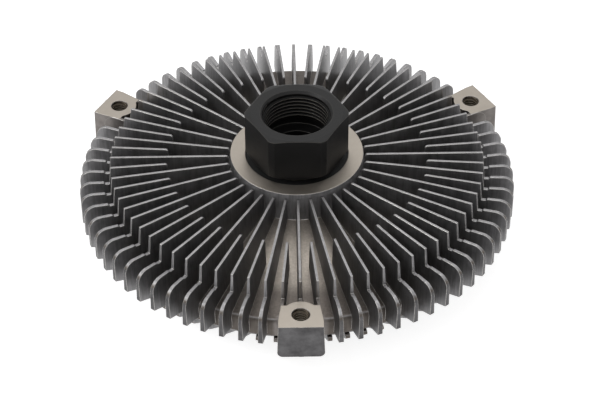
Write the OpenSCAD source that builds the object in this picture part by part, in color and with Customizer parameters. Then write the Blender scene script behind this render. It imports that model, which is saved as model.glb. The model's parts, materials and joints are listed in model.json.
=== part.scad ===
// Viscous fan clutch with a finned die-cast housing, three tapped fan lugs and a screw-on hexagon hub.
// The axis is Z. Z = 0 is the plane of the three machined lug faces, and +Z points to the hub's open end.

/* [Fan lugs] */
// Diameter of the bolt circle of the fan lugs
fan_pcd = 152; // [140:1:166]
// Nominal diameter of the tapped hole in each fan lug
lug_hole_d = 6; // [5:0.1:6.6]
// Width of a lug's outer face at its machined top
lug_w = 15.2; // [13:0.1:16]
// Height of a lug
lug_h = 13.7; // [11:0.1:14.5]
// Distance from the tapped hole's centre to the lug's outer face
lug_reach = 6.2; // [5:0.1:8]
// Radius of the boss round each tapped hole
lug_boss_r = 6.3; // [5:0.1:7]
// Rounding of a lug's lower corners
lug_corner_r = 2; // [1:0.1:3]

/* [Housing fins] */
// Number of fins, long and short by turns
fin_count = 72; // [60:6:84]
// Thickness of a fin at its top edge
fin_t = 0.8; // [0.6:0.1:1.2]
// Draft on each side of a fin, in degrees
fin_draft = 1.5; // [0.4:0.1:1.8]
// Distance that the fins reach past the bolt circle
fin_past = 2.3; // [0:0.1:4]
// Height of the fins' inner part above the lug faces
fin_top_z = 6.2; // [4:0.1:7]
// Distance from the bolt circle in to the edge where the fins step down
step_in = 9.2; // [8:0.1:13]
// Inner radius of the short fins
short_fin_r = 46.4; // [38:0.2:54]
// Depth of the fins' outer part below the lug faces
fin_skirt_h = 12.2; // [9:0.1:13]
// Rounding of the fins' outer top corner
fin_corner_r = 4.2; // [2:0.1:5]
// Rounding of the fins' inner top corner
fin_nose_r = 1; // [0.4:0.1:2]

/* [Housing shell] */
// Distance from the bolt circle in to the outside of the rim
rim_in = 5.5; // [4.5:0.1:5.8]
// Wall between the rim's outside and the working chamber
rim_wall = 8; // [7.5:0.1:8.4]
// Depth of the outer floor beside the rim, below the lug faces
floor_rim_depth = 8.3; // [7.5:0.1:9]
// Depth of the outer floor beside the bearing boss, below the lug faces
floor_hub_depth = 2.6; // [1.5:0.1:4]
// Thickness of the shell over the inner recess
shell_t = 3.4; // [2.8:0.1:3.8]
// Thickness of the shell between the working face and the outer floor at the rim
web_t = 2.7; // [2.4:0.1:3.2]
// Rounding of the shoulder from the outer floor to the rim
shoulder_r = 2; // [1:0.1:2.5]
// Height of the bearing boss above the lug faces
boss_top_z = 7.6; // [7:0.1:9]
// Wall of the boss round the bearing
boss_wall = 2.8; // [2.2:0.1:3.4]
// Thickness of the lip over the bearing
boss_lip_t = 2; // [1.4:0.1:2.4]
// Width of the lip over the bearing's outer ring
boss_lip_w = 2.5; // [1.8:0.1:2.8]

/* [Hub and shaft] */
// Hexagon across its flats
hex_af = 33; // [31:0.5:34]
// Diameter that the hexagon's corners are turned to
hex_round_d = 36.8; // [36:0.1:37.6]
// Height of the hexagon
hex_h = 17.4; // [15:0.1:20]
// Radius of the flat ring on the hexagon's end
hex_face_r = 16.2; // [15.4:0.05:16.8]
// Nominal diameter of the fixing thread, 24 x 1.5 left-hand
thread_d = 24; // [22.6:0.1:24.6]
// Depth of the fixing hole from the hub's end
thread_depth = 14.5; // [12:0.1:15.5]
// Diameter of the countersink at the thread's mouth
thread_mouth_d = 25.8; // [25:0.1:27]
// Width of the relief groove past the thread
relief_w = 2.8; // [2:0.1:3.2]
// Diameter of the centre hole below the thread
centre_hole_d = 15.8; // [10:0.1:16]
// Diameter of the stub that carries the drive disc
stub_d = 17; // [14:0.1:17.6]

/* [Bearing] */
// Bearing bore
bearing_bore_d = 20; // [19.6:0.1:20.6]
// Bearing outer diameter
bearing_od = 42; // [41:0.1:43]
// Bearing width
bearing_w = 12; // [11:0.1:12.4]
// Ball diameter
ball_d = 6.35; // [5.6:0.05:6.6]
// Number of balls
ball_count = 9; // [7:1:9]
// Radial play between ball and raceway
ball_play = 0.025; // [0.01:0.005:0.06]
// Thickness of the retaining ring
snap_t = 1.5; // [1.2:0.1:1.75]
// Depth of the retaining ring's groove
snap_groove = 1.2; // [0.8:0.1:1.4]

/* [Drive disc and partition] */
// Running gap above and below the drive disc
run_gap = 0.6; // [0.5:0.05:0.8]
// Thickness of the drive disc
disc_t = 2.6; // [2.2:0.1:3]
// Gap from the disc's edge to the chamber wall, where the fluid gathers
gather_gap = 3; // [2.6:0.1:3.6]
// Number of ring-shaped lands on the disc
land_count = 3; // [2:1:3]
// Width of a land
land_w = 2.4; // [1.8:0.1:2.8]
// Height of a land
land_h = 1.6; // [1:0.1:1.8]
// Distance from one land to the next
land_pitch = 6; // [5:0.1:6.4]
// Gap beside a land in its groove
land_gap = 0.5; // [0.35:0.05:0.8]
// Thickness of the partition plate
plate_t = 0.8; // [0.6:0.1:1.2]
// Width of the step that the partition plate sits on
plate_step = 1.5; // [1:0.1:1.8]
// Distance from the axis to the feed hole in the plate
feed_r = 30; // [26:0.5:36]
// Diameter of the feed hole
feed_d = 6; // [4:0.1:7]

/* [Front cover] */
// Thickness of the gasket under the cover
gasket_t = 0.5; // [0.3:0.1:0.8]
// Distance that the rim stands past the partition plate
rim_stand = 0.9; // [0.7:0.1:1.3]
// Thickness of the cover's flange under the screw heads
flange_t = 2.5; // [2:0.1:3]
// Depth of the fluid reservoir behind the partition plate
reservoir_h = 4; // [3.4:0.1:4.6]
// Thickness of the cover's wall
cover_t = 2.6; // [2.2:0.1:3]
// Height of the cover's fins
cover_fin_h = 4.3; // [3.8:0.1:5]
// Thickness of a cover fin at its edge
cover_fin_t = 1.2; // [0.9:0.1:1.4]
// Inner radius of the long cover fins
cover_fin_r = 35; // [33:0.5:40]
// Turn of the cover's fins from those of the housing, in degrees
cover_fin_turn = -1.8; // [-2.5:0.1:2.5]
// Number of cover screws
screw_count = 6; // [4:1:8]
// Thread core diameter of a cover screw
screw_core_d = 2.6; // [2.2:0.1:3]
// Diameter of a cover screw's head
screw_head_d = 5.5; // [5:0.1:6]
// Height of a cover screw's head
screw_head_h = 2.2; // [1.6:0.1:2.6]
// Depth of a cover screw in the rim
screw_depth = 4.6; // [4:0.1:5]

/* [Control] */
// Diameter of the control pin
pin_d = 3.9; // [3.4:0.1:4.4]
// Radial play of the control pin
pin_play = 0.05; // [0.02:0.01:0.08]
// Length of the bimetal strip
strip_l = 53; // [48:0.5:56]
// Width of the bimetal strip
strip_w = 13; // [10:0.5:16]
// Thickness of the bimetal strip
strip_t = 0.8; // [0.6:0.1:1]
// Distance from the cover's wall to the bimetal strip
strip_stand = 2.2; // [1.8:0.1:2.4]
// Length of the strip held in each holder
strip_grip = 3.5; // [2.5:0.1:5]
// Thickness of the valve lever
lever_t = 0.4; // [0.3:0.1:0.6]
// Width of the valve lever
lever_w = 8; // [6:0.5:10]
// Distance from the axis to the valve lever's rivets
rivet_x = 28; // [24:0.5:32]

/* [Hidden] */
$fn = 96;
// Slack of a part that drops into its seat
seat_play = 0.1;
// Overlap of a cut past the face that it starts from
cut = 1;

// Depth that a rib's root is sunk in the wall that it stands on
root_sink = 1;

// Housing: radii from the axis and heights from the lug faces
lug_r = fan_pcd / 2;
lug_root = 4.4;
lug_out_r = lug_r + lug_reach;
lug_in_r = lug_r - lug_root;
lug_draft = 1.7;
rim_r = lug_r - rim_in;
rim_edge = 0.9;
rim_foot_r = rim_r - rim_edge;
chamber_r = rim_r - rim_wall;
seat_r = chamber_r + plate_step;
bearing_r = bearing_od / 2;
boss_spread = 1.6;
boss_r = bearing_r + boss_wall;
boss_foot_r = boss_r + boss_spread;
lip_r = bearing_r - boss_lip_w;
work_z = -floor_rim_depth - web_t;

// Housing fins: the step, the ledge at its foot, the riser to the low outer lobe and its sloping underside
fin_r = lug_r + fin_past;
fin_boss_gap = 0.6;
long_fin_r = boss_r + fin_boss_gap;
fin_step_r = lug_r - step_in;
fin_step_draft = 0.7;
fin_step_foot = 0.95;
fin_ledge_w = 1.5;
fin_riser_w = 0.5;
fin_lobe_in_drop = 0.4;
fin_lobe_drop = 0.15;
fin_under_slope = 0.3;
fin_under_z = -fin_skirt_h - fin_under_slope * (fin_r - rim_r);

// Bearing and retaining ring
bore_r = bearing_bore_d / 2;
pitch_r = (bore_r + bearing_r) / 2;
ball_r = ball_d / 2;
race_r = ball_r + ball_play;
race_share = 0.62;
race_shoulder = race_share * ball_r;
inner_ring_r = pitch_r - race_shoulder;
outer_ring_r = pitch_r + race_shoulder;
bearing_seal_t = 0.8;
bearing_seal_in = 0.2;
bearing_seal_lap = 1.1;
bearing_seal_r = outer_ring_r + bearing_seal_lap;
bearing_top_z = boss_top_z - boss_lip_t;
bearing_end_z = bearing_top_z - bearing_w;
snap_end_z = bearing_end_z - snap_t;
snap_shoulder = 1.5;
boss_end_z = snap_end_z - seat_play - snap_shoulder;

// Drive disc, partition plate, cover and strip, from the rear to the front
peen = 1;
disc_r = chamber_r - gather_gap;
disc_top_z = work_z - run_gap;
disc_end_z = disc_top_z - disc_t;
disc_hub_step = 0.3;
disc_hub_r = inner_ring_r - disc_hub_step;
land_margin = 2;
land_out_r = disc_r - land_margin;
recess_r = land_out_r - (land_count - 1) * land_pitch - land_w - land_margin;
plate_top_z = disc_end_z - run_gap;
plate_end_z = plate_top_z - plate_t;
plate_r = seat_r - seat_play;
rim_z = plate_end_z - rim_stand;
flange_z = rim_z - gasket_t;
spot_z = flange_z - flange_t;
reservoir_z = plate_end_z - reservoir_h;
spigot_wall = 2.5;
reservoir_r = chamber_r - spigot_wall;
cover_z = reservoir_z - cover_t;
cover_edge_in = 0.6;
cover_edge_h = 0.5;
flange_r = rim_foot_r - cover_edge_in;
rest_z = cover_z - cover_fin_h;
screw_r = (seat_r + flange_r) / 2;
screw_clear = 0.5;
screw_hole_r = screw_core_d / 2 + screw_clear;
spot_r = screw_head_d / 2 + screw_clear;

// Control parts
pin_r = pin_d / 2;
lever_end_z = plate_end_z - lever_t;
strip_top_z = cover_z - strip_stand;
strip_end_z = strip_top_z - strip_t;
guide_r = 6;
guide_rise = 1.6;
guide_drop = 1.4;
guide_top_z = reservoir_z + guide_rise;
guide_end_z = cover_z - guide_drop;
seal_w = 1.65;
seal_r = pin_r + seal_w;
seal_h = 1.6;
seal_cup_t = 0.6;
seal_seat_z = guide_top_z - seal_h - seal_cup_t;
rivet_r = 1.2;
rivet_head_r = 2.2;
rivet_gap = 3;

// Height of the housing's outer floor, a shallow cone between the boss and the rim
function floor_z(r) =
    -floor_hub_depth
    - (floor_rim_depth - floor_hub_depth) * (r - boss_foot_r) / (rim_r - shoulder_r - boss_foot_r);

// Copies its children round the axis, starting over the front lug
module round_axis(count, turn = 0) {
    for (i = [0 : count - 1])
        rotate([0, 0, -90 + turn + i * 360 / count])
            children();
}

// A radial fin: a profile in radius and height, as thick as its draft makes it
module drafted_fin(edge_t, edge_z, root_z, draft, reach) {
    root_t = edge_t + 2 * abs(edge_z - root_z) * tan(draft);
    intersection() {
        rotate([90, 0, 0])
            linear_extrude(height = root_t, center = true)
                children();
        rotate([90, 0, 90])
            linear_extrude(height = reach)
                polygon([
                    [-edge_t / 2, edge_z],
                    [edge_t / 2, edge_z],
                    [root_t / 2, root_z],
                    [-root_t / 2, root_z]
                ]);
    }
}

// Stepped outline of a housing fin: high over the floor, low and round past the rim
module housing_fin_profile(inner_r) {
    foot_r = fin_step_r + fin_step_draft;
    corner_x = fin_r - fin_corner_r;
    corner_z = -fin_lobe_drop - fin_corner_r;
    shoulder_in_r = rim_r - shoulder_r;
    union() {
        polygon([
            [inner_r, floor_z(inner_r) - root_sink],
            [inner_r, fin_top_z - fin_nose_r],
            [inner_r + fin_nose_r, fin_top_z],
            [fin_step_r, fin_top_z],
            [foot_r, -fin_step_foot],
            [foot_r + fin_ledge_w, -fin_step_foot],
            [foot_r + fin_ledge_w + fin_riser_w, -fin_lobe_in_drop],
            [corner_x, -fin_lobe_drop],
            [fin_r, corner_z],
            [fin_r, -fin_skirt_h],
            [rim_r, fin_under_z],
            [rim_r - root_sink, fin_under_z],
            [shoulder_in_r - root_sink, floor_z(shoulder_in_r) - root_sink]
        ]);
        translate([corner_x, corner_z])
            circle(r = fin_corner_r);
        translate([inner_r + fin_nose_r, fin_top_z - fin_nose_r])
            circle(r = fin_nose_r);
    }
}

module housing_fin(inner_r) {
    drafted_fin(fin_t, fin_top_z, fin_under_z - root_sink, fin_draft, fin_r + cut)
        housing_fin_profile(inner_r);
}

// Section of the shell: boss, sloping floor, rim and the stepped inside
module shell_profile() {
    difference() {
        union() {
            polygon([
                [lip_r, boss_top_z],
                [boss_r, boss_top_z],
                [boss_foot_r, floor_z(boss_foot_r)],
                [rim_r - shoulder_r, floor_z(rim_r - shoulder_r)],
                [rim_r, -floor_rim_depth - shoulder_r],
                [rim_r, rim_z + rim_edge],
                [rim_foot_r, rim_z],
                [seat_r, rim_z],
                [seat_r, plate_top_z],
                [chamber_r, plate_top_z],
                [chamber_r, work_z],
                [recess_r, work_z],
                [recess_r, floor_z(recess_r) - shell_t],
                [boss_foot_r, floor_z(boss_foot_r) - shell_t],
                [boss_foot_r, boss_end_z],
                [bearing_r, boss_end_z],
                [bearing_r, bearing_top_z],
                [lip_r, bearing_top_z]
            ]);
            translate([rim_r - shoulder_r, -floor_rim_depth - shoulder_r])
                circle(r = shoulder_r);
        }
        translate([bearing_r - cut, snap_end_z - seat_play])
            square([snap_groove + cut, snap_t + seat_play]);
        for (i = [0 : land_count - 1])
            translate([land_out_r - i * land_pitch - land_w - land_gap, work_z - cut])
                square([land_w + 2 * land_gap, land_h + cut]);
    }
}

// One fan lug, lying along X: a wedge with drafted sides and a round boss at its hole
module fan_lug() {
    half_top = lug_w / 2;
    half_end = half_top + lug_h * tan(lug_draft);
    half_root = half_top * lug_in_r / lug_out_r;
    intersection() {
        translate([0, 0, -lug_h])
            linear_extrude(height = lug_h)
                polygon([
                    [lug_in_r, -half_root],
                    [lug_out_r, -half_end],
                    [lug_out_r, half_end],
                    [lug_in_r, half_root]
                ]);
        rotate([90, 0, 90])
            linear_extrude(height = lug_out_r + cut)
                union() {
                    polygon([
                        [-half_top, 0],
                        [half_top, 0],
                        [half_end, -lug_h + lug_corner_r],
                        [half_end - lug_corner_r, -lug_h],
                        [lug_corner_r - half_end, -lug_h],
                        [-half_end, -lug_h + lug_corner_r]
                    ]);
                    for (side = [-1, 1])
                        translate([side * (half_end - lug_corner_r), -lug_h + lug_corner_r])
                            circle(r = lug_corner_r);
                }
    }
    translate([lug_r, 0, -lug_h])
        cylinder(r = lug_boss_r, h = lug_h);
}

// Die-cast rear housing with its fins, fan lugs and bearing boss
module rear_housing() {
    countersink = 0.2;
    color("darkgray")
        difference() {
            union() {
                rotate_extrude()
                    shell_profile();
                round_axis(fin_count / 2)
                    housing_fin(long_fin_r);
                round_axis(fin_count / 2, 360 / fin_count)
                    housing_fin(short_fin_r);
                round_axis(3)
                    fan_lug();
            }
            round_axis(3)
                translate([lug_r, 0, -lug_h - cut]) {
                    cylinder(d = lug_hole_d, h = lug_h + 2 * cut);
                    translate([0, 0, lug_h + cut - countersink])
                        cylinder(d1 = lug_hole_d, d2 = lug_hole_d + 2 * countersink, h = countersink);
                }
            round_axis(screw_count)
                translate([screw_r, 0, rim_z - cut])
                    cylinder(d = screw_core_d, h = screw_depth + screw_clear + cut);
        }
}

// Section of the front cover: spigot, flange, sloping edge, reservoir floor and pin guide
module cover_profile() {
    polygon([
        [0, guide_top_z],
        [guide_r, guide_top_z],
        [guide_r, reservoir_z],
        [reservoir_r, reservoir_z],
        [reservoir_r, plate_end_z],
        [plate_r, plate_end_z],
        [plate_r, flange_z],
        [flange_r, flange_z],
        [flange_r, flange_z - cover_edge_h],
        [reservoir_r + cover_t / 2, cover_z],
        [guide_r, cover_z],
        [guide_r, guide_end_z],
        [0, guide_end_z]
    ]);
}

// Outline of a cover fin, with a round foot at the rest plane and a sloping end that runs out to a round tip
module cover_fin_profile(inner_r) {
    foot_r = 1.2;
    tip_round = 1;
    tip_past = 0.8;
    tip_gap = 0.05;
    tip_r = flange_r + tip_past;
    tip_z = flange_z - tip_gap - tip_round;
    union() {
        polygon([
            [inner_r, cover_z + root_sink],
            [inner_r, rest_z + foot_r],
            [inner_r + foot_r, rest_z],
            [reservoir_r, rest_z],
            [tip_r + 0.6 * tip_round, tip_z - 0.8 * tip_round],
            [tip_r, tip_z + tip_round],
            [flange_r - tip_round / 2, flange_z - 2 * tip_gap],
            [reservoir_r, cover_z + root_sink]
        ]);
        translate([tip_r, tip_z])
            circle(r = tip_round);
        translate([inner_r + foot_r, rest_z + foot_r])
            circle(r = foot_r);
    }
}

module cover_fin(inner_r) {
    drafted_fin(cover_fin_t, rest_z, flange_z, fin_draft, fin_r)
        cover_fin_profile(inner_r);
}

// Cast holder that grips one end of the bimetal strip, open towards the axis
module strip_holder() {
    wall = 2;
    floor_t = 1;
    in_x = strip_l / 2 - strip_grip;
    difference() {
        translate([in_x, -strip_w / 2 - wall, strip_end_z - floor_t])
            cube([strip_grip + wall, strip_w + 2 * wall, cover_z + cut - strip_end_z + floor_t]);
        translate([in_x - cut, -strip_w / 2 - seat_play, strip_end_z - seat_play / 2])
            cube([strip_grip + cut + seat_play, strip_w + 2 * seat_play, strip_t + seat_play / 2]);
    }
}

// Die-cast front cover with fins, pin guide and strip holders
module front_cover() {
    color("darkgray")
        difference() {
            union() {
                rotate_extrude()
                    cover_profile();
                round_axis(fin_count / 2, cover_fin_turn)
                    cover_fin(cover_fin_r);
                round_axis(fin_count / 2, cover_fin_turn + 360 / fin_count)
                    cover_fin((cover_fin_r + reservoir_r) / 2);
                for (turn = [0, 180])
                    rotate([0, 0, turn])
                        strip_holder();
            }
            round_axis(screw_count)
                translate([screw_r, 0, rest_z - cut]) {
                    cylinder(r = screw_hole_r, h = flange_z - rest_z + 2 * cut);
                    cylinder(r = spot_r, h = spot_z - rest_z + cut);
                }
            translate([0, 0, guide_end_z - cut])
                cylinder(r = pin_r + pin_play, h = guide_top_z - guide_end_z + 2 * cut);
            translate([0, 0, seal_seat_z])
                cylinder(r = seal_r, h = guide_top_z - seal_seat_z + cut);
        }
}

// Flat gasket between the rim and the cover's flange
module cover_gasket() {
    color("dimgray")
        translate([0, 0, flange_z])
            linear_extrude(height = gasket_t)
                difference() {
                    circle(r = flange_r);
                    circle(r = seat_r);
                    round_axis(screw_count)
                        translate([screw_r, 0])
                            circle(r = screw_hole_r);
                }
}

// Cover screws with a hexagon socket
module cover_screws() {
    socket_af = 2.5;
    socket_floor = 0.8;
    color("gray")
        round_axis(screw_count)
            translate([screw_r, 0, 0])
                difference() {
                    union() {
                        translate([0, 0, spot_z - screw_head_h])
                            cylinder(d = screw_head_d, h = screw_head_h);
                        translate([0, 0, spot_z - cut / 2])
                            cylinder(d = screw_core_d, h = rim_z + screw_depth - spot_z + cut / 2);
                    }
                    translate([0, 0, spot_z - screw_head_h - cut])
                        cylinder(d = socket_af / cos(30), h = screw_head_h - socket_floor + cut, $fn = 6);
                }
}

// Forged hub with an inside thread, its shaft and the peened stub for the drive disc
module hub_shaft() {
    hex_r = hex_af / sqrt(3);
    hex_gap = 0.4;
    hex_z = boss_top_z + hex_gap;
    end_z = hex_z + hex_h;
    neck_r = inner_ring_r - seat_play;
    round_r = hex_round_d / 2;
    chamfer_h = 0.55;
    foot_in = 0.6;
    foot_r = hex_af / 2 - foot_in;
    foot_h = (round_r - foot_r) * tan(30);
    thread_r = thread_d / 2;
    relief_depth = 0.5;
    relief_r = thread_r + relief_depth;
    mouth_r = thread_mouth_d / 2;
    hole_end_z = end_z - thread_depth;
    centre_h = 3;
    drill_tip = 2;
    color("dimgray")
        difference() {
            union() {
                intersection() {
                    translate([0, 0, hex_z])
                        cylinder(r = hex_r, h = hex_h, $fn = 6);
                    rotate_extrude()
                        polygon([
                            [0, hex_z],
                            [foot_r, hex_z],
                            [round_r, hex_z + foot_h],
                            [round_r, end_z - chamfer_h],
                            [hex_face_r, end_z],
                            [0, end_z]
                        ]);
                }
                rotate_extrude()
                    polygon([
                        [0, hex_z + root_sink],
                        [neck_r, hex_z + root_sink],
                        [neck_r, bearing_top_z],
                        [bore_r, bearing_top_z],
                        [bore_r, bearing_end_z],
                        [stub_d / 2, bearing_end_z],
                        [stub_d / 2, disc_end_z + peen],
                        [stub_d / 2 + peen, disc_end_z],
                        [0, disc_end_z]
                    ]);
            }
            rotate_extrude()
                polygon([
                    [0, end_z + cut],
                    [mouth_r + cut, end_z + cut],
                    [thread_r, end_z - mouth_r + thread_r],
                    [thread_r, hole_end_z + relief_w],
                    [relief_r, hole_end_z + relief_w],
                    [relief_r, hole_end_z],
                    [centre_hole_d / 2, hole_end_z],
                    [centre_hole_d / 2, hole_end_z - centre_h],
                    [0, hole_end_z - centre_h - drill_tip]
                ]);
        }
}

// Drive disc with ring-shaped lands, held on the stub by its peened end
module drive_disc() {
    vent_d = 5;
    vent_r = (disc_hub_r + recess_r) / 2;
    color("silver")
        difference() {
            rotate_extrude()
                polygon(concat(
                    [
                        [stub_d / 2, bearing_end_z],
                        [disc_hub_r, bearing_end_z],
                        [disc_hub_r, disc_top_z]
                    ],
                    [
                        for (i = [land_count - 1 : -1 : 0], corner = [[0, 0], [0, 1], [1, 1], [1, 0]])
                            [
                                land_out_r - i * land_pitch - land_w + corner.x * land_w,
                                disc_top_z + corner.y * land_h
                            ]
                    ],
                    [
                        [disc_r, disc_top_z],
                        [disc_r, disc_end_z],
                        [stub_d / 2 + peen, disc_end_z],
                        [stub_d / 2, disc_end_z + peen]
                    ]
                ));
            round_axis(6)
                translate([vent_r, 0, disc_end_z - cut])
                    cylinder(d = vent_d, h = disc_t + 2 * cut);
        }
}

// Section of one bearing ring between two radii, with the ball groove cut in it
module bearing_ring_profile(in_r, out_r) {
    difference() {
        translate([in_r, bearing_end_z])
            square([out_r - in_r, bearing_w]);
        translate([pitch_r, bearing_end_z + bearing_w / 2])
            circle(r = race_r);
    }
}

// Outer ring with a step at each side that the seal is pressed in
module bearing_outer_ring() {
    step_h = bearing_seal_in + bearing_seal_t;
    color("lightsteelblue")
        rotate_extrude()
            difference() {
                bearing_ring_profile(outer_ring_r, bearing_r);
                for (z = [bearing_end_z - cut, bearing_top_z - step_h])
                    translate([outer_ring_r - cut, z])
                        square([bearing_seal_lap + cut, step_h + cut]);
            }
}

module bearing_inner_ring() {
    color("lightsteelblue")
        rotate_extrude()
            bearing_ring_profile(bore_r, inner_ring_r);
}

module bearing_balls() {
    color("lightsteelblue")
        round_axis(ball_count)
            translate([pitch_r, 0, bearing_end_z + bearing_w / 2])
                sphere(d = ball_d);
}

// Moulded cage that spaces the balls
module bearing_cage() {
    cage_t = 1.6;
    cage_rim = 1;
    cage_h = ball_d + 2 * cage_rim;
    pocket_play = 0.15;
    color("sienna")
        difference() {
            rotate_extrude()
                translate([pitch_r - cage_t / 2, bearing_end_z + (bearing_w - cage_h) / 2])
                    square([cage_t, cage_h]);
            round_axis(ball_count)
                translate([pitch_r, 0, bearing_end_z + bearing_w / 2])
                    sphere(r = ball_r + pocket_play);
        }
}

// Rubber seal in one side of the bearing, on the outer ring's step
module bearing_seal(low_z) {
    color("black")
        translate([0, 0, low_z])
            linear_extrude(height = bearing_seal_t)
                difference() {
                    circle(r = bearing_seal_r);
                    circle(r = inner_ring_r + seat_play);
                }
}

module bearing_seal_rear() {
    bearing_seal(bearing_top_z - bearing_seal_in - bearing_seal_t);
}

module bearing_seal_front() {
    bearing_seal(bearing_end_z + bearing_seal_in);
}

// Open retaining ring with two plier eyes, in the groove below the bearing
module bearing_retaining_ring() {
    ring_w = 3;
    eye_r = 2;
    eye_in = 2.6;
    gap_angle = 14;
    eye_angle = gap_angle + 4;
    out_r = bearing_r + snap_groove - seat_play;
    eye_at = bearing_r - eye_in;
    color("slategray")
        translate([0, 0, snap_end_z])
            linear_extrude(height = snap_t)
                difference() {
                    union() {
                        difference() {
                            circle(r = out_r);
                            circle(r = out_r - ring_w);
                            polygon([
                                [0, 0],
                                [2 * out_r, -2 * out_r * tan(gap_angle)],
                                [2 * out_r, 2 * out_r * tan(gap_angle)]
                            ]);
                        }
                        for (side = [-1, 1])
                            rotate([0, 0, side * eye_angle])
                                translate([eye_at, 0])
                                    circle(r = eye_r);
                    }
                    for (side = [-1, 1])
                        rotate([0, 0, side * eye_angle])
                            translate([eye_at, 0])
                                circle(r = eye_r / 2);
                }
}

// Steel plate that parts the reservoir from the working chamber
module partition_plate() {
    return_d = 1.8;
    return_angle = 97;
    color("gainsboro")
        translate([0, 0, plate_end_z])
            linear_extrude(height = plate_t)
                difference() {
                    circle(r = plate_r);
                    translate([feed_r, 0])
                        circle(d = feed_d);
                    for (side = [-1, 1])
                        translate([-rivet_x, side * rivet_gap])
                            circle(r = rivet_r);
                    rotate([0, 0, return_angle])
                        translate([(disc_r + chamber_r) / 2, 0])
                            circle(d = return_d);
                }
}

// Ramp on the partition plate that wipes fluid off the disc's edge and into the return hole
module pump_scoop() {
    scoop_l = 9;
    scoop_lip = 2;
    scoop_angle = 90;
    scoop_h = disc_t + run_gap;
    wall_gap = 0.3;
    disc_gap = 0.4;
    in_r = disc_r + disc_gap;
    out_r = sqrt(pow(chamber_r - wall_gap, 2) - pow(scoop_l / 2, 2));
    color("gray")
        rotate([0, 0, scoop_angle])
            translate([in_r, 0, plate_top_z])
                rotate([90, 0, 90])
                    linear_extrude(height = out_r - in_r)
                        polygon([
                            [-scoop_l / 2, 0],
                            [scoop_l / 2, 0],
                            [scoop_l / 2, scoop_h],
                            [scoop_l / 2 - scoop_lip, scoop_h]
                        ]);
}

// Leaf-spring lever that closes the feed hole
module valve_lever() {
    pad_lap = 2;
    tail_edge = 0.6;
    pad_r = feed_d / 2 + pad_lap;
    tail_l = 2 * (rivet_head_r + tail_edge);
    tail_w = 2 * (rivet_gap + rivet_head_r + tail_edge);
    color("lightgray")
        translate([0, 0, lever_end_z])
            linear_extrude(height = lever_t)
                difference() {
                    union() {
                        translate([-rivet_x - tail_l / 2, -tail_w / 2])
                            square([tail_l, tail_w]);
                        translate([-rivet_x, -lever_w / 2])
                            square([rivet_x + feed_r, lever_w]);
                        translate([feed_r, 0])
                            circle(r = pad_r);
                    }
                    for (side = [-1, 1])
                        translate([-rivet_x, side * rivet_gap])
                            circle(r = rivet_r);
                }
}

// Rivets that hold the lever's tail to the partition plate, flush on the disc's side
module lever_rivets() {
    head_h = 0.7;
    color("silver")
        for (side = [-1, 1])
            translate([-rivet_x, side * rivet_gap, lever_end_z - head_h]) {
                cylinder(r = rivet_head_r, h = head_h);
                cylinder(r = rivet_r, h = plate_top_z - lever_end_z + head_h);
            }
}

// Pin between the bimetal strip and the valve lever
module control_pin() {
    tip = 0.4;
    color("silver")
        rotate_extrude()
            polygon([
                [0, lever_end_z],
                [pin_r - tip, lever_end_z],
                [pin_r, lever_end_z - tip],
                [pin_r, strip_top_z + tip],
                [pin_r - tip, strip_top_z],
                [0, strip_top_z]
            ]);
}

module pin_seal_ring() {
    color("black")
        translate([0, 0, seal_seat_z])
            linear_extrude(height = seal_h)
                difference() {
                    circle(r = seal_r);
                    circle(r = pin_r + pin_play / 2);
                }
}

module pin_seal_retainer() {
    cup_clear = 0.4;
    color("silver")
        translate([0, 0, seal_seat_z + seal_h])
            linear_extrude(height = seal_cup_t)
                difference() {
                    circle(r = seal_r);
                    circle(r = pin_r + cup_clear);
                }
}

// Bimetal strip that bows away from the cover as it warms
module bimetal_strip() {
    corner = 1.5;
    color("goldenrod")
        translate([0, 0, strip_end_z])
            linear_extrude(height = strip_t)
                polygon([
                    [-strip_l / 2, -strip_w / 2 + corner],
                    [-strip_l / 2 + corner, -strip_w / 2],
                    [strip_l / 2 - corner, -strip_w / 2],
                    [strip_l / 2, -strip_w / 2 + corner],
                    [strip_l / 2, strip_w / 2 - corner],
                    [strip_l / 2 - corner, strip_w / 2],
                    [-strip_l / 2 + corner, strip_w / 2],
                    [-strip_l / 2, strip_w / 2 - corner]
                ]);
}

rear_housing();
front_cover();
cover_gasket();
cover_screws();
hub_shaft();
drive_disc();
bearing_outer_ring();
bearing_inner_ring();
bearing_balls();
bearing_cage();
bearing_seal_rear();
bearing_seal_front();
bearing_retaining_ring();
partition_plate();
pump_scoop();
valve_lever();
lever_rivets();
control_pin();
pin_seal_ring();
pin_seal_retainer();
bimetal_strip();
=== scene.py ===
import json
import math

import bpy
from mathutils import Matrix, Vector


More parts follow.
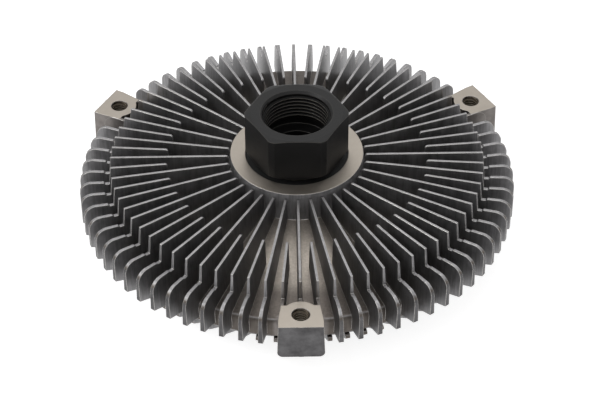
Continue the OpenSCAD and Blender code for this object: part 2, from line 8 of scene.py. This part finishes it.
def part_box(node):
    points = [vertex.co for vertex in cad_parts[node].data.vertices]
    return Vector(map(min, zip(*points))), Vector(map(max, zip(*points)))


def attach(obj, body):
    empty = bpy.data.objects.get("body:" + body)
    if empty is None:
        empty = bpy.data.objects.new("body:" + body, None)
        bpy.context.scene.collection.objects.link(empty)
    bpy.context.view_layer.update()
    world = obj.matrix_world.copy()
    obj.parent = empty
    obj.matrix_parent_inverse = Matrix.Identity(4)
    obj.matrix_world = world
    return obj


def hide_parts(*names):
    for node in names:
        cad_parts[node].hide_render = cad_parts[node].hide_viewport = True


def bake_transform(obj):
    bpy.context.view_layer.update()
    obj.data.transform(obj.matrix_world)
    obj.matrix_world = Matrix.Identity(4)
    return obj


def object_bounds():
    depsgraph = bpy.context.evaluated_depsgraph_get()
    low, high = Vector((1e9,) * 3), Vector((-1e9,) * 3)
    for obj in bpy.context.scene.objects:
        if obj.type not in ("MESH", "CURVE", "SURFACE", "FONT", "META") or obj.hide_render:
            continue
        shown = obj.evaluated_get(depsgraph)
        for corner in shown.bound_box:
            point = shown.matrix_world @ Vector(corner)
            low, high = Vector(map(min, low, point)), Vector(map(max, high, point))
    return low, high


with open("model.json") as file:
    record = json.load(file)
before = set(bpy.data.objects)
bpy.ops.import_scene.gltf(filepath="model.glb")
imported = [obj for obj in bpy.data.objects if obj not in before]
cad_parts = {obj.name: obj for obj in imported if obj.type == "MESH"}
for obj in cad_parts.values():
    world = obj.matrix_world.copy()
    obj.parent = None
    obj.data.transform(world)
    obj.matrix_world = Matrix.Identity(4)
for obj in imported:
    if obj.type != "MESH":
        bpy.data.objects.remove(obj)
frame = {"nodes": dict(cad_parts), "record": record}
cad_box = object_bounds()
nodes = frame["nodes"]


# Rear housing: one aluminium pressure die casting with its fins, boss and fan lugs.
# It leaves the die with a grey, slightly grainy skin; only the lug faces and the boss face are turned bright.
def linear(hex_colour):
    """An sRGB hex colour as the linear colour that a shader socket takes."""
    channels = [int(hex_colour[i:i + 2], 16) / 255 for i in (1, 3, 5)]
    return [c / 12.92 if c <= 0.04045 else ((c + 0.055) / 1.055) ** 2.4 for c in channels] + [1.0]


def add(tree, kind, inputs=None, **settings):
    """Adds a node. An input takes a value, an output, or a node, which stands for its first output in use."""
    node = tree.nodes.new(kind)
    for name, value in settings.items():
        setattr(node, name, value)
    for name, value in (inputs or {}).items():
        if isinstance(name, int):
            socket = node.inputs[name]
        else:
            socket = next(s for s in node.inputs if s.name == name and s.enabled)
        if isinstance(value, bpy.types.Node):
            value = next(s for s in value.outputs if s.enabled)
        if isinstance(value, bpy.types.NodeSocket):
            tree.links.new(value, socket)
        else:
            socket.default_value = value
    return node


def new_material(name):
    """An empty node material and its tree, ready for a shader."""
    material = bpy.data.materials.new(name)
    material.use_nodes = True
    material.node_tree.nodes.clear()
    return material, material.node_tree


def worn_and_highlit_edges(tree, radius_mm, flat, fully_bent, samples):
    """The normal over softened edges, and a mask that goes from 0 to 1 as that normal bends from flat to fully bent;
    materials use it for edge wear and for painted edge highlights.
    """
    geometry = add(tree, "ShaderNodeNewGeometry")
    rounded = add(tree, "ShaderNodeBevel", {"Radius": radius_mm * MM}, samples=samples)
    bend = add(tree, "ShaderNodeVectorMath", {
        0: rounded, 1: geometry.outputs["Normal"],
    }, operation="DOT_PRODUCT")
    edge = add(tree, "ShaderNodeMapRange", {"Value": bend, "From Min": flat, "From Max": fully_bent})
    return rounded, edge


def finish_with(names, material):
    """Gives CAD nodes a material in all of their slots."""
    for name in names:
        mesh = nodes[name].data
        mesh.materials.clear()
        mesh.materials.append(material)


MM = 0.001

# Die-cast aluminium: a dull grey metal, painted brighter along every edge, partly where tumbling has rubbed the skin
# off and partly as a painted highlight.
# Walls have faint streaks along the draw of the die. Floors, which it doesn't scrape, are smoother and a little
# brown; towards the rim, floor and rim wall are darkened with painted shade of the deep valleys. The lugs' sides are
# blotchy, and the outermost faces, those beyond 77.6 mm from the axis that face outwards, are the darkest. Turned
# faces are paler and warmer.
cast_aluminium, tree = new_material("die_cast_aluminium")
coord = add(tree, "ShaderNodeTexCoord")
spot = coord.outputs["Object"]
height = add(tree, "ShaderNodeSeparateXYZ", {0: spot}).outputs["Z"]
tilt = add(tree, "ShaderNodeSeparateXYZ", {0: coord.outputs["Normal"]}).outputs["Z"]
rounded, edge = worn_and_highlit_edges(tree, radius_mm=0.3, flat=0.995, fully_bent=0.8, samples=6)

# Patches 5 mm wide, and streaks 0.7 mm wide that run 14 times as long. The real grain is about 0.1 mm wide;
# it is drawn at 0.5 mm, so that it shows.
patches = add(tree, "ShaderNodeTexNoise", {
    "Vector": spot, "Scale": 1 / (5 * MM), "Detail": 4.0, "Roughness": 0.65,
})
grain = add(tree, "ShaderNodeTexNoise", {"Vector": spot, "Scale": 1 / (0.5 * MM), "Detail": 2.0})
drawn = add(tree, "ShaderNodeVectorMath", {0: spot, 1: (1, 1, 0.07)}, operation="MULTIPLY")
streaks = add(tree, "ShaderNodeTexNoise", {"Vector": drawn, "Scale": 1 / (0.7 * MM), "Detail": 2.0})
skin_drift = add(tree, "ShaderNodeMath", {0: patches, 1: streaks}, operation="ADD")
skin_tone = add(tree, "ShaderNodeMapRange", {"Value": skin_drift, "From Min": 0.7, "From Max": 1.3})
blotches = add(tree, "ShaderNodeMapRange", {"Value": patches, "From Min": 0.35, "From Max": 0.65})

# Where each skin lies. A zone fades in from its first size to its second, measured from the clutch's axis,
# from the middle of a lug, or in height.
# The two rim zones carry painted shade: the floor near the rim and the rim's outward wall are darkened there.
rim_floor_zone = (54 * MM, 59 * MM)
rim_band_zone = (69 * MM, 70 * MM)
outermost_zone = (77.6 * MM, 78.0 * MM)
lug_zone = (11.5 * MM, 10.5 * MM)
floor_height_zone = (-1.0 * MM, -2.0 * MM)
bolt_circle = next(m for m in frame["record"]["mounts"] if m["name"] == "fan_bolts")["dims"]
lug_r = bolt_circle["pcd_mm"] / 2 * MM
lug_angles = [math.radians(degrees) for degrees in (-90, 30, 150)]
lug_centres = [(lug_r * math.cos(angle), lug_r * math.sin(angle), 0) for angle in lug_angles]
flat_spot = add(tree, "ShaderNodeVectorMath", {0: spot, 1: (1, 1, 0)}, operation="MULTIPLY")
axis_distance = add(tree, "ShaderNodeVectorMath", {0: flat_spot}, operation="LENGTH")
near_rim, past_rim, far_out = [
    add(tree, "ShaderNodeMapRange", {"Value": axis_distance, "From Min": start, "From Max": end})
    for start, end in (rim_floor_zone, rim_band_zone, outermost_zone)
]
facing_up = add(tree, "ShaderNodeMapRange", {"Value": tilt, "From Min": 0.7, "From Max": 0.9})
below_fins = add(tree, "ShaderNodeMapRange", {
    "Value": height, "From Min": floor_height_zone[0], "From Max": floor_height_zone[1],
})
on_floor = add(tree, "ShaderNodeMath", {0: facing_up, 1: below_fins}, operation="MULTIPLY")
outward = add(tree, "ShaderNodeVectorMath", {0: flat_spot}, operation="NORMALIZE")
outward_tilt = add(tree, "ShaderNodeVectorMath", {
    0: outward, 1: coord.outputs["Normal"],
}, operation="DOT_PRODUCT")
facing_out = add(tree, "ShaderNodeMapRange", {"Value": outward_tilt, "From Min": 0.6, "From Max": 0.8})
on_rim = add(tree, "ShaderNodeMath", {0: past_rim, 1: facing_out}, operation="MULTIPLY")
outermost = add(tree, "ShaderNodeMath", {0: far_out, 1: facing_out}, operation="MULTIPLY")
to_front, to_right, to_left = [
    add(tree, "ShaderNodeVectorMath", {0: flat_spot, 1: centre}, operation="DISTANCE") for centre in lug_centres
]
to_front_or_right = add(tree, "ShaderNodeMath", {0: to_front, 1: to_right}, operation="MINIMUM")
to_lug = add(tree, "ShaderNodeMath", {0: to_front_or_right, 1: to_left}, operation="MINIMUM")
at_lug = add(tree, "ShaderNodeMapRange", {"Value": to_lug, "From Min": lug_zone[0], "From Max": lug_zone[1]})

# The five cast skins, laid over each other (the rim one is painted shade), with the edges last, painted paler: partly
# rubbed wear, partly a painted highlight.
wall_skin, inner_floor, rim_painted_shade, lug_skin, outermost_skin = [
    add(tree, "ShaderNodeMix", {"Factor": tone, "A": linear(dark), "B": linear(bright)}, data_type="RGBA")
    for tone, dark, bright in (
        (skin_tone, "#797879", "#989798"),
        (skin_tone, "#756f68", "#8f8880"),
        (skin_tone, "#504b47", "#645e59"),
        (blotches, "#686461", "#807b78"),
        (blotches, "#484748", "#636263"),
    )
]
# Towards the rim the floor fades into the rim colour, a painted shade of the deep valleys.
floor_tone_and_shade = add(tree, "ShaderNodeMix", {"Factor": near_rim, "A": inner_floor, "B": rim_painted_shade}, data_type="RGBA")
skin_with_painted_light = wall_skin
# The last layer paints the edges paler: partly rubbed wear, partly a painted highlight.
for zone, skin in (
    (on_floor, floor_tone_and_shade), (on_rim, rim_painted_shade), (at_lug, lug_skin), (outermost, outermost_skin),
    (edge, linear("#c3c0bc")),
):
    skin_with_painted_light = add(tree, "ShaderNodeMix", {"Factor": zone, "A": skin_with_painted_light, "B": skin}, data_type="RGBA")

# Turned faces: the tool's feed leaves rings about 0.25 mm apart, no two alike.
lug_face_z = 0.0
boss_face_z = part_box("rear_housing")[1][2]
face_tolerance = 0.03 * MM
on_lug, on_boss = [
    add(tree, "ShaderNodeMath", {0: height, 1: face_z, 2: face_tolerance}, operation="COMPARE")
    for face_z in (lug_face_z, boss_face_z)
]
on_face = add(tree, "ShaderNodeMath", {0: on_lug, 1: on_boss}, operation="MAXIMUM")
dead_level = add(tree, "ShaderNodeMath", {0: tilt, 1: 0.999}, operation="GREATER_THAN")
turned = add(tree, "ShaderNodeMath", {0: on_face, 1: dead_level}, operation="MULTIPLY")
rings = add(tree, "ShaderNodeTexNoise", {
    "W": axis_distance, "Scale": 1 / (0.25 * MM), "Detail": 2.0,
}, noise_dimensions="1D")
turned_skin = add(tree, "ShaderNodeMix", {
    "Factor": patches, "A": linear("#8f887f"), "B": linear("#a09990"),
}, data_type="RGBA")
colour = add(tree, "ShaderNodeMix", {"Factor": turned, "A": skin_with_painted_light, "B": turned_skin}, data_type="RGBA")
relief = add(tree, "ShaderNodeMix", {"Factor": turned, "A": grain, "B": rings}, data_type="FLOAT")

wall_gloss, floor_gloss, turned_gloss = [
    add(tree, "ShaderNodeMapRange", {"Value": patches, "To Min": low, "To Max": high})
    for low, high in ((0.38, 0.54), (0.3, 0.4), (0.36, 0.48))
]
gloss = wall_gloss
for zone, zone_gloss in ((on_floor, floor_gloss), (edge, 0.3), (turned, turned_gloss)):
    gloss = add(tree, "ShaderNodeMix", {"Factor": zone, "A": gloss, "B": zone_gloss}, data_type="FLOAT")
bump = add(tree, "ShaderNodeBump", {"Height": relief, "Distance": 0.04 * MM, "Strength": 0.5, "Normal": rounded})
shader = add(tree, "ShaderNodeBsdfPrincipled", {
    "Base Color": colour, "Metallic": 1.0, "Roughness": gloss, "Normal": bump,
})
add(tree, "ShaderNodeOutputMaterial", {"Surface": shader})
finish_with(["rear_housing"], cast_aluminium)


# Threads in the fan lugs: M6 coarse threads tapped straight into the casting.
# Only the ridges are made here, standing on the wall of each hole that the casting already has.
def plain_metal(name, dark, bright, edge_colour, roughness, grain_mm, edge_mm):
    """A metal with drifting colour, a grain drawn as coarse as it needs to show, and rubbed edges."""
    material, tree = new_material(name)
    spot = add(tree, "ShaderNodeTexCoord").outputs["Object"]
    rounded, edge = worn_and_highlit_edges(tree, radius_mm=edge_mm, flat=0.995, fully_bent=0.85, samples=4)
    drift = add(tree, "ShaderNodeTexNoise", {"Vector": spot, "Scale": 1 / (9 * MM), "Detail": 3.0})
    grain = add(tree, "ShaderNodeTexNoise", {"Vector": spot, "Scale": 1 / (grain_mm * MM), "Detail": 2.0})
    skin = add(tree, "ShaderNodeMix", {"Factor": drift, "A": linear(dark), "B": linear(bright)}, data_type="RGBA")
    colour = add(tree, "ShaderNodeMix", {"Factor": edge, "A": skin, "B": linear(edge_colour)}, data_type="RGBA")
    gloss = add(tree, "ShaderNodeMapRange", {
        "Value": grain, "To Min": roughness - 0.06, "To Max": roughness + 0.06,
    })
    bump = add(tree, "ShaderNodeBump", {
        "Height": grain, "Distance": 0.02 * MM, "Strength": 0.3, "Normal": rounded,
    })
    shader = add(tree, "ShaderNodeBsdfPrincipled", {
        "Base Color": colour, "Metallic": 1.0, "Roughness": gloss, "Normal": bump,
    })
    add(tree, "ShaderNodeOutputMaterial", {"Surface": shader})
    return material


def new_piece(name, points, faces, finishes):
    """A mesh object with its finishes, the first of them on every face."""
    mesh = bpy.data.meshes.new(name)
    mesh.from_pydata(points, [], faces)
    mesh.update()
    for finish in finishes:
        mesh.materials.append(finish)
    piece = bpy.data.objects.new(name, mesh)
    bpy.context.collection.objects.link(piece)
    return piece


def thread_ridge(name, centre, root_r, crest_r, pitch, low, high, hand, steps, flank_finish, crest_finish):
    """A helical ridge on the wall of a round hole, fading into the wall at both ends."""
    foot_r = root_r + 0.02 * MM  # the foot stands a little way into the wall
    foot_half, crest_half = 0.44, 0.125  # in pitches
    fade_steps = 0.4 * steps
    crest_side = 1  # the section's sides are flank, crest, flank and foot
    section = [(foot_r, -foot_half), (crest_r, -crest_half), (crest_r, crest_half), (foot_r, foot_half)]
    count = int((high - low - pitch) / pitch * steps)
    points = []
    for i in range(count + 1):
        angle = hand * 2 * math.pi * i / steps
        middle = low + pitch / 2 + pitch * i / steps
        fade = min(1, i / fade_steps, (count - i) / fade_steps)
        for r, part in section:
            reach = foot_r + (r - foot_r) * fade
            x = centre[0] + reach * math.cos(angle)
            y = centre[1] + reach * math.sin(angle)
            points.append((x, y, middle + part * pitch))
    faces = []
    for i in range(count):
        for k in range(4):
            a, b = 4 * i + k, 4 * i + (k + 1) % 4
            faces.append((a, b, b + 4, a + 4) if hand < 0 else (a, a + 4, b + 4, b))
    piece = new_piece(name, points, faces, [flank_finish, crest_finish])
    for number, face in enumerate(piece.data.polygons):
        face.material_index = 1 if number % 4 == crest_side else 0
    return piece


# Cut thread: bare metal, its flanks darkened with painted shade and its crests coloured bright as a painted
# highlight.
# Painted shade: the flanks are coloured dark for the shade inside the hole.
shaded_thread_flank = plain_metal(
    "aluminium_thread_painted_shade", "#38322b", "#4a433a", "#6e665a", roughness=0.42, grain_mm=0.3, edge_mm=0.05,
)
# Painted highlight: the crests are coloured near white for the light they catch.
highlit_thread_crest = plain_metal(
    "aluminium_thread_painted_highlight", "#cfc9be", "#dcd6cb", "#e3ded5", roughness=0.36, grain_mm=0.3, edge_mm=0.05,
)
right_hand, left_hand = 1, -1
lug_hole_r = bolt_circle["hole_r_mm"] * MM
lug_crest_r = 2.5 * MM
lug_pitch = 1.0 * MM
lug_thread_low = -13.4 * MM
for number, middle in enumerate(lug_centres, start=1):
    ridge = thread_ridge(
        f"lug_thread_{number}", middle, lug_hole_r, lug_crest_r, lug_pitch, lug_thread_low, lug_face_z,
        right_hand, steps=36, flank_finish=shaded_thread_flank, crest_finish=highlit_thread_crest,
    )
    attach(ridge, "housing")


# Front cover: the second die casting, with its own fins, the pin guide and the strip holders.
# It closes the front on a flat gasket and is held by screws from below.
finish_with(["front_cover"], cast_aluminium)


# Cover gasket: a flat ring stamped from sheet and clamped between the two castings.
# Pressed fibre sheet: dark and dull, and faintly mottled by its fibres.
gasket_sheet, tree = new_material("gasket_fibre_sheet")
spot = add(tree, "ShaderNodeTexCoord").outputs["Object"]
fibres = add(tree, "ShaderNodeTexNoise", {"Vector": spot, "Scale": 1 / (0.8 * MM), "Detail": 4.0})
colour = add(tree, "ShaderNodeMix", {
    "Factor": fibres, "A": linear("#232221"), "B": linear("#3a3836"),
}, data_type="RGBA")
bump = add(tree, "ShaderNodeBump", {"Height": fibres, "Distance": 0.03 * MM, "Strength": 0.4})
shader = add(tree, "ShaderNodeBsdfPrincipled", {"Base Color": colour, "Roughness": 0.85, "Normal": bump})
add(tree, "ShaderNodeOutputMaterial", {"Surface": shader})
finish_with(["cover_gasket"], gasket_sheet)


# Cover screws and rivets: cold-headed steel with a thin zinc plating, pale and slightly blue,
# with edges that show brighter where the driver and the die have rubbed them.
zinc_plate = plain_metal(
    "zinc_plated_steel", "#a3a5a6", "#b9bbbc", "#d2d4d5", roughness=0.34, grain_mm=0.3, edge_mm=0.2,
)
finish_with(["cover_screws", "lever_rivets"], zinc_plate)


# Hub and shaft: a steel forging, turned and threaded, then phosphated black and oiled.
# The hexagon takes the spanner and the inside thread screws on the pump's shaft.
def phosphated(name, dark, bright, edge_colour, shine):
    """Steel with a grainy crystal coat that holds oil unevenly; its edges are smooth and paler, partly rubbed wear
    and partly a painted highlight.
    """
    material, tree = new_material(name)
    spot = add(tree, "ShaderNodeTexCoord").outputs["Object"]
    rounded, edge = worn_and_highlit_edges(tree, radius_mm=0.5, flat=0.99, fully_bent=0.75, samples=6)
    oil = add(tree, "ShaderNodeTexNoise", {"Vector": spot, "Scale": 1 / (8 * MM), "Detail": 4.0})
    # Real crystals are about 0.01 mm wide. They are drawn at 0.35 mm, so that they show.
    crystals = add(tree, "ShaderNodeTexNoise", {"Vector": spot, "Scale": 1 / (0.35 * MM), "Detail": 3.0})
    coat = add(tree, "ShaderNodeMix", {"Factor": oil, "A": linear(dark), "B": linear(bright)}, data_type="RGBA")
    colour = add(tree, "ShaderNodeMix", {"Factor": edge, "A": coat, "B": linear(edge_colour)}, data_type="RGBA")
    coat_gloss = add(tree, "ShaderNodeMapRange", {"Value": oil, "To Min": 0.34, "To Max": 0.56})
    gloss = add(tree, "ShaderNodeMix", {"Factor": edge, "A": coat_gloss, "B": 0.15}, data_type="FLOAT")
    bump = add(tree, "ShaderNodeBump", {
        "Height": crystals, "Distance": 0.03 * MM, "Strength": 0.35, "Normal": rounded,
    })
    shader = add(tree, "ShaderNodeBsdfPrincipled", {
        "Base Color": colour, "Roughness": gloss, "Specular IOR Level": shine, "Normal": bump,
    })
    add(tree, "ShaderNodeOutputMaterial", {"Surface": shader})
    return material


# Phosphate coat: near black and matt, with a dull oily shine where it has been handled.
# Its edges are painted paler: partly rubbed wear, partly a painted highlight.
phosphated_steel = phosphated("phosphated_steel", "#060606", "#0e0d0d", "#57544f", shine=0.25)
finish_with(["hub_shaft"], phosphated_steel)

# The hub's thread is 24 x 1.5, left-hand, and runs from the countersink down to the relief groove.
# Its flanks are near black, a little darker than the coat as painted shade, and its crests are coloured grey as a
# painted highlight.
# Painted shade: the flanks a little darker than the coat.
shaded_black_flank = phosphated("phosphated_thread_painted_shade", "#050505", "#0b0b0a", "#0b0b0a", shine=0.1)
# Painted highlight: the crests coloured grey for the light they catch.
highlit_grey_crest = phosphated("phosphated_thread_painted_highlight", "#55524d", "#67635d", "#67635d", shine=0.4)
hub_fixing = next(m for m in frame["record"]["mounts"] if m["name"] == "hub_thread")["dims"]
hub_thread_r = hub_fixing["r_mm"] * MM
hub_crest_r = hub_thread_r - 0.81 * MM
hub_pitch = 1.5 * MM
countersink = 0.9 * MM
run_out = 0.6 * MM
thread_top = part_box("hub_shaft")[1][2] - countersink
thread_low = thread_top - hub_fixing["length_mm"] * MM
ridge = thread_ridge(
    "hub_thread", (0, 0), hub_thread_r, hub_crest_r, hub_pitch, thread_low, thread_top + run_out,
    left_hand, steps=72, flank_finish=shaded_black_flank, crest_finish=highlit_grey_crest,
)
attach(ridge, "drive")


# Drive disc: turned from an aluminium blank, with ring-shaped lands, and pressed on the stub.
# It is hidden inside the clutch, bright from the tool.
turned_aluminium = plain_metal(
    "turned_aluminium", "#b4b4b3", "#c8c8c7", "#dddddc", roughness=0.3, grain_mm=0.4, edge_mm=0.25,
)
finish_with(["drive_disc"], turned_aluminium)


# Ball bearing: ground and polished rings and balls of chrome steel, with the control pin from the same stock.
# A moulded cage spaces the balls and a rubber seal closes each side.
bearing_steel = plain_metal(
    "ground_bearing_steel", "#b2b4b6", "#c6c8ca", "#d8dadc", roughness=0.16, grain_mm=0.25, edge_mm=0.2,
)
finish_with(["bearing_outer_ring", "bearing_balls", "control_pin"], bearing_steel)
# The inner ring is coloured dark as painted shade, for the shade in the narrow gap under the hub.
shaded_bearing_steel = plain_metal(
    "bearing_steel_painted_shade", "#33322f", "#45433f", "#5b5953", roughness=0.34, grain_mm=0.25, edge_mm=0.2,
)
finish_with(["bearing_inner_ring"], shaded_bearing_steel)


def moulded(name, dark, bright, roughness, grain_mm):
    """A moulded rubber or plastic with a matt, faintly uneven skin, its grain drawn as coarse as it needs to show."""
    material, tree = new_material(name)
    spot = add(tree, "ShaderNodeTexCoord").outputs["Object"]
    bloom = add(tree, "ShaderNodeTexNoise", {"Vector": spot, "Scale": 1 / (5 * MM), "Detail": 3.0})
    grain = add(tree, "ShaderNodeTexNoise", {"Vector": spot, "Scale": 1 / (grain_mm * MM), "Detail": 2.0})
    colour = add(tree, "ShaderNodeMix", {"Factor": bloom, "A": linear(dark), "B": linear(bright)}, data_type="RGBA")
    gloss = add(tree, "ShaderNodeMapRange", {
        "Value": bloom, "To Min": roughness - 0.08, "To Max": roughness + 0.08,
    })
    bump = add(tree, "ShaderNodeBump", {"Height": grain, "Distance": 0.02 * MM, "Strength": 0.3})
    shader = add(tree, "ShaderNodeBsdfPrincipled", {"Base Color": colour, "Roughness": gloss, "Normal": bump})
    add(tree, "ShaderNodeOutputMaterial", {"Surface": shader})
    return material


# Nitrile rubber: black, with a faint grey bloom. Glass-filled nylon: tan brown and half matt.
nitrile = moulded("nitrile_rubber", "#121212", "#232323", roughness=0.62, grain_mm=0.3)
finish_with(["bearing_seal_rear", "bearing_seal_front", "pin_seal_ring"], nitrile)
nylon = moulded("glass_filled_nylon", "#6b4424", "#83572f", roughness=0.45, grain_mm=0.4)
finish_with(["bearing_cage"], nylon)


# Retaining ring: stamped from spring steel, and sprung into the boss's groove to hold the bearing.
# Hardened and oiled, it is blue-black with paler edges.
spring_steel = plain_metal(
    "hardened_spring_steel", "#4d5054", "#60646a", "#8d9196", roughness=0.32, grain_mm=0.3, edge_mm=0.2,
)
finish_with(["bearing_retaining_ring"], spring_steel)


# Partition plate, scoop and seal retainer: pressed from cold-rolled steel sheet, left bright.
# The plate is clamped on its step by the cover's spigot; the scoop is welded on it.
rolled_sheet = plain_metal(
    "cold_rolled_sheet", "#9a9a98", "#b0b0ae", "#c8c8c6", roughness=0.38, grain_mm=0.3, edge_mm=0.15,
)
finish_with(["partition_plate", "pump_scoop", "pin_seal_retainer"], rolled_sheet)


# Valve lever: a leaf of the same spring steel, riveted to the plate at its tail, with a round pad on the feed hole.
# It bends with the control pin; here it is made as a flat strip in many short steps along its length.
def bending_strip(name, columns, low_z, high_z, finish):
    """A flat strip from columns of (x, half width), closed on all sides."""
    points = []
    for x, half in columns:
        points += [(x, -half, low_z), (x, half, low_z), (x, half, high_z), (x, -half, high_z)]
    faces = [(0, 1, 2, 3), tuple(4 * (len(columns) - 1) + k for k in (3, 2, 1, 0))]
    for i in range(len(columns) - 1):
        for k in range(4):
            a, b = 4 * i + k, 4 * i + (k + 1) % 4
            faces.append((b, a, a + 4, b + 4))
    return new_piece(name, points, faces, [finish])


lever_low, lever_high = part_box("valve_lever")
tail_half = lever_high[1]
arm_half = 4 * MM
tip_half = 0.2 * MM
pad_r = 5 * MM
pad_x = lever_high[0] - pad_r
tail_end = lever_low[0] + 5.6 * MM
lever_steps = 60
columns = [(lever_low[0], tail_half), (tail_end, tail_half), (tail_end, arm_half)]
for i in range(1, lever_steps + 1):
    x = tail_end + (lever_high[0] - tail_end) * i / lever_steps
    round_half = math.sqrt(max(pad_r * pad_r - (x - pad_x) ** 2, 0))
    columns.append((x, max(arm_half if x < pad_x else tip_half, round_half)))
lever = bending_strip("bending_valve_lever", columns, lever_low[2], lever_high[2], spring_steel)
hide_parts("valve_lever")
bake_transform(lever)


# Bimetal strip: two alloys rolled together, straw coloured outside, held at both ends in the cover's holders.
# It bows outwards as it warms; here it is made as two flat halves, each in short steps from the control pin at the
# middle out to its holder.
bimetal = plain_metal(
    "rolled_bimetal", "#a08d68", "#b5a27c", "#cdbb97", roughness=0.33, grain_mm=0.3, edge_mm=0.2,
)
strip_low, strip_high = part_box("bimetal_strip")
strip_end, strip_half = strip_high[0], strip_high[1]
corner = 1.5 * MM
grip_x = strip_end - 3.5 * MM
strip_steps = 30
for side, name in ((-1, "bimetal_strip_left"), (1, "bimetal_strip_right")):
    columns = [(grip_x * i / strip_steps, strip_half) for i in range(strip_steps + 1)]
    columns += [(strip_end - corner, strip_half), (strip_end, strip_half - corner)]
    if side < 0:
        columns = [(-x, half) for x, half in reversed(columns)]
    half_strip = bending_strip(name, columns, strip_low[2], strip_high[2], bimetal)
    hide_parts("bimetal_strip")
    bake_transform(half_strip)


# Studio: a wide pale table in a white room, with soft lamps above the clutch: behind, in front and to the left.
# The eye and the polished metal see table and walls as white; dull surfaces are lit less by them than by the lamps.
# From below the table is clear, so that the cover shows.
def seen_rays(tree):
    """1 on rays that reach the eye, straight or by way of metal or glass, and 0 on those that only give light."""
    light_path = add(tree, "ShaderNodeLightPath")
    seen = add(tree, "ShaderNodeMath", {
        0: light_path.outputs["Is Camera Ray"], 1: light_path.outputs["Is Glossy Ray"],
    }, operation="MAXIMUM")
    return add(tree, "ShaderNodeMath", {
        0: seen, 1: light_path.outputs["Is Transmission Ray"],
    }, operation="MAXIMUM")


floor_z = cad_box[0][2]
bpy.ops.mesh.primitive_grid_add(x_subdivisions=8, y_subdivisions=8, size=8, location=(0, 0, floor_z))
floor = bpy.context.object
floor.name = "studio_floor"
paper, tree = new_material("matt_white_paper")
glow = add(tree, "ShaderNodeMath", {0: seen_rays(tree), 1: 0.8}, operation="MULTIPLY")
white = add(tree, "ShaderNodeEmission", {"Color": linear("#ffffff"), "Strength": glow})
matt = add(tree, "ShaderNodeBsdfDiffuse", {"Color": linear("#c4c4c4")})
both = add(tree, "ShaderNodeAddShader", {0: white, 1: matt})
from_below = add(tree, "ShaderNodeNewGeometry").outputs["Backfacing"]
clear = add(tree, "ShaderNodeBsdfTransparent")
table = add(tree, "ShaderNodeMixShader", {0: from_below, 1: both, 2: clear})
add(tree, "ShaderNodeOutputMaterial", {"Surface": table})
floor.data.materials.append(paper)

world = bpy.data.worlds.new("white_room")
world.use_nodes = True
tree = world.node_tree
tree.nodes.clear()
room_light = add(tree, "ShaderNodeMapRange", {"Value": seen_rays(tree), "To Min": 0.45, "To Max": 1.0})
walls = add(tree, "ShaderNodeBackground", {"Color": linear("#ffffff"), "Strength": room_light})
add(tree, "ShaderNodeOutputWorld", {"Surface": walls})
bpy.context.scene.world = world


def softbox(name, place, width, height, power):
    """A rectangular soft lamp that points at the clutch."""
    lamp = bpy.data.lights.new(name, "AREA")
    lamp.shape = "RECTANGLE"
    lamp.size = width
    lamp.size_y = height
    lamp.energy = power
    holder = bpy.data.objects.new(name, lamp)
    holder.location = place
    holder.rotation_euler = (-Vector(place)).to_track_quat("-Z", "Y").to_euler()
    bpy.context.collection.objects.link(holder)


softbox("back_softbox", (0, 0.62, 1.12), width=1.1, height=0.5, power=3.5)
softbox("front_softbox", (0, -0.55, 1.2), width=0.8, height=0.6, power=2.0)
softbox("left_softbox", (-0.9, -0.25, 0.75), width=0.5, height=0.5, power=4.5)


# Camera: a long lens from in front and above, in line with the front fan lug.
camera_data = bpy.data.cameras.new("photo_camera")
camera_data.sensor_width = 36
camera_data.lens = 122.7
camera = bpy.data.objects.new("photo_camera", camera_data)
distance = 728.8 * MM
elevation = math.radians(39.74)
swing = math.radians(-0.79)
roll = math.radians(-0.31)
aim = Vector((-0.2 * MM, 0, -15.2 * MM))
camera.location = (
    distance * math.cos(elevation) * math.sin(swing),
    -distance * math.cos(elevation) * math.cos(swing),
    distance * math.sin(elevation),
)
looking = (aim - camera.location).to_track_quat("-Z", "Y").to_matrix()
camera.rotation_euler = (looking @ Matrix.Rotation(roll, 3, "Z")).to_euler()
bpy.context.collection.objects.link(camera)
bpy.context.scene.camera = camera
bpy.context.scene.view_settings.view_transform = "Standard"
